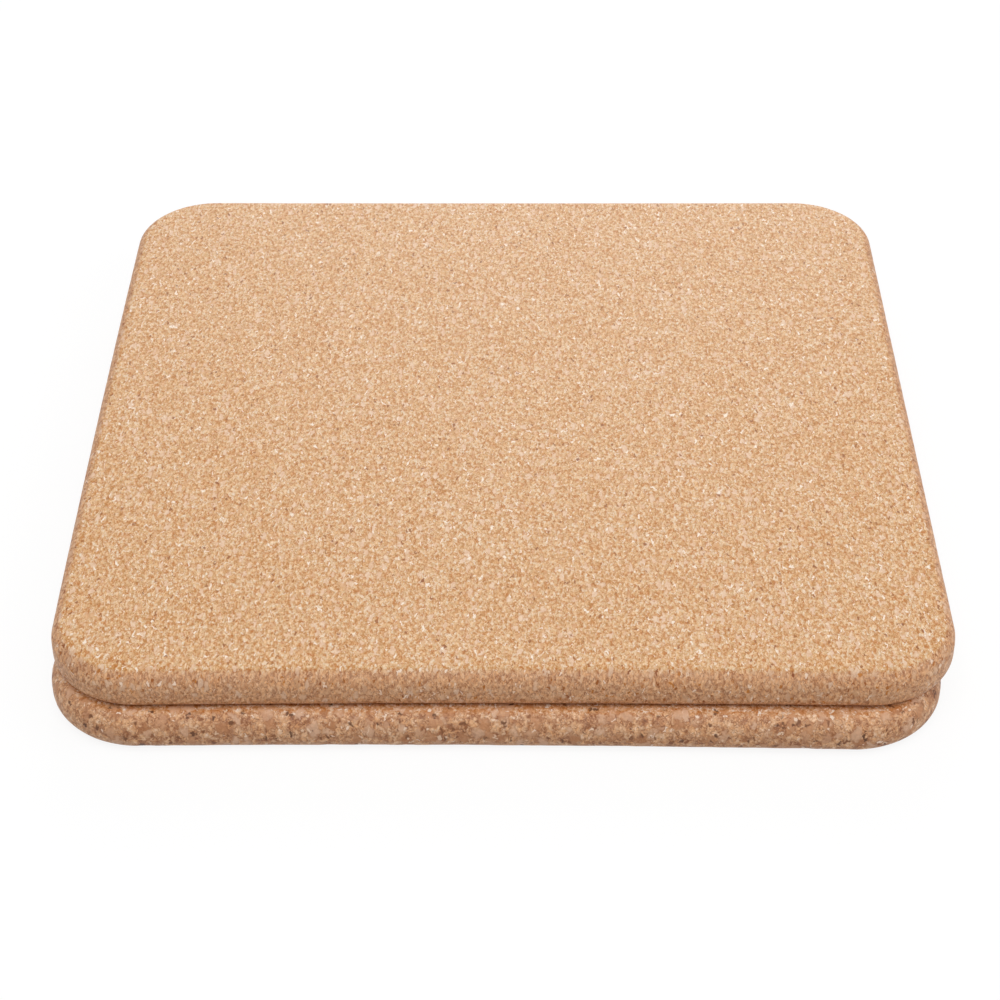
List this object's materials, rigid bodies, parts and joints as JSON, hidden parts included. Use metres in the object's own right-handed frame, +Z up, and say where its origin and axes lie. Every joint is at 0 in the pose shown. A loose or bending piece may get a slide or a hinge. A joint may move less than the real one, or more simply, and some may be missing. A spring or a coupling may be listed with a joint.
{
  "type": "trivet",
  "caption": "Flat square cork trivet with rounded corners and edges, lying on a matching board of coarser cork, to stand hot dishes on.",
  "frame": {"origin": "middle of the lower board's underside, on the table", "axes": "+Z up through both boards, +X to the right, -Y towards the side where the lower board looks out from under the upper one"},
  "size_m": [0.201, 0.2048, 0.018],
  "materials": {
    "fine_cork": "matt sanded agglomerated cork, fine granules",
    "coarse_cork": "matt sanded agglomerated cork, coarse granules"
  },
  "bodies": {
    "lower_board": {"lower_board": "coarse_cork"},
    "upper_board": {"upper_board": "fine_cork"}
  },
  "joints": [
    {"name": "upper_lift", "type": "slide", "parent": "lower_board", "child": "upper_board", "axis": [0, 0, 1], "range_m": [0, 0.06]}
  ]
}
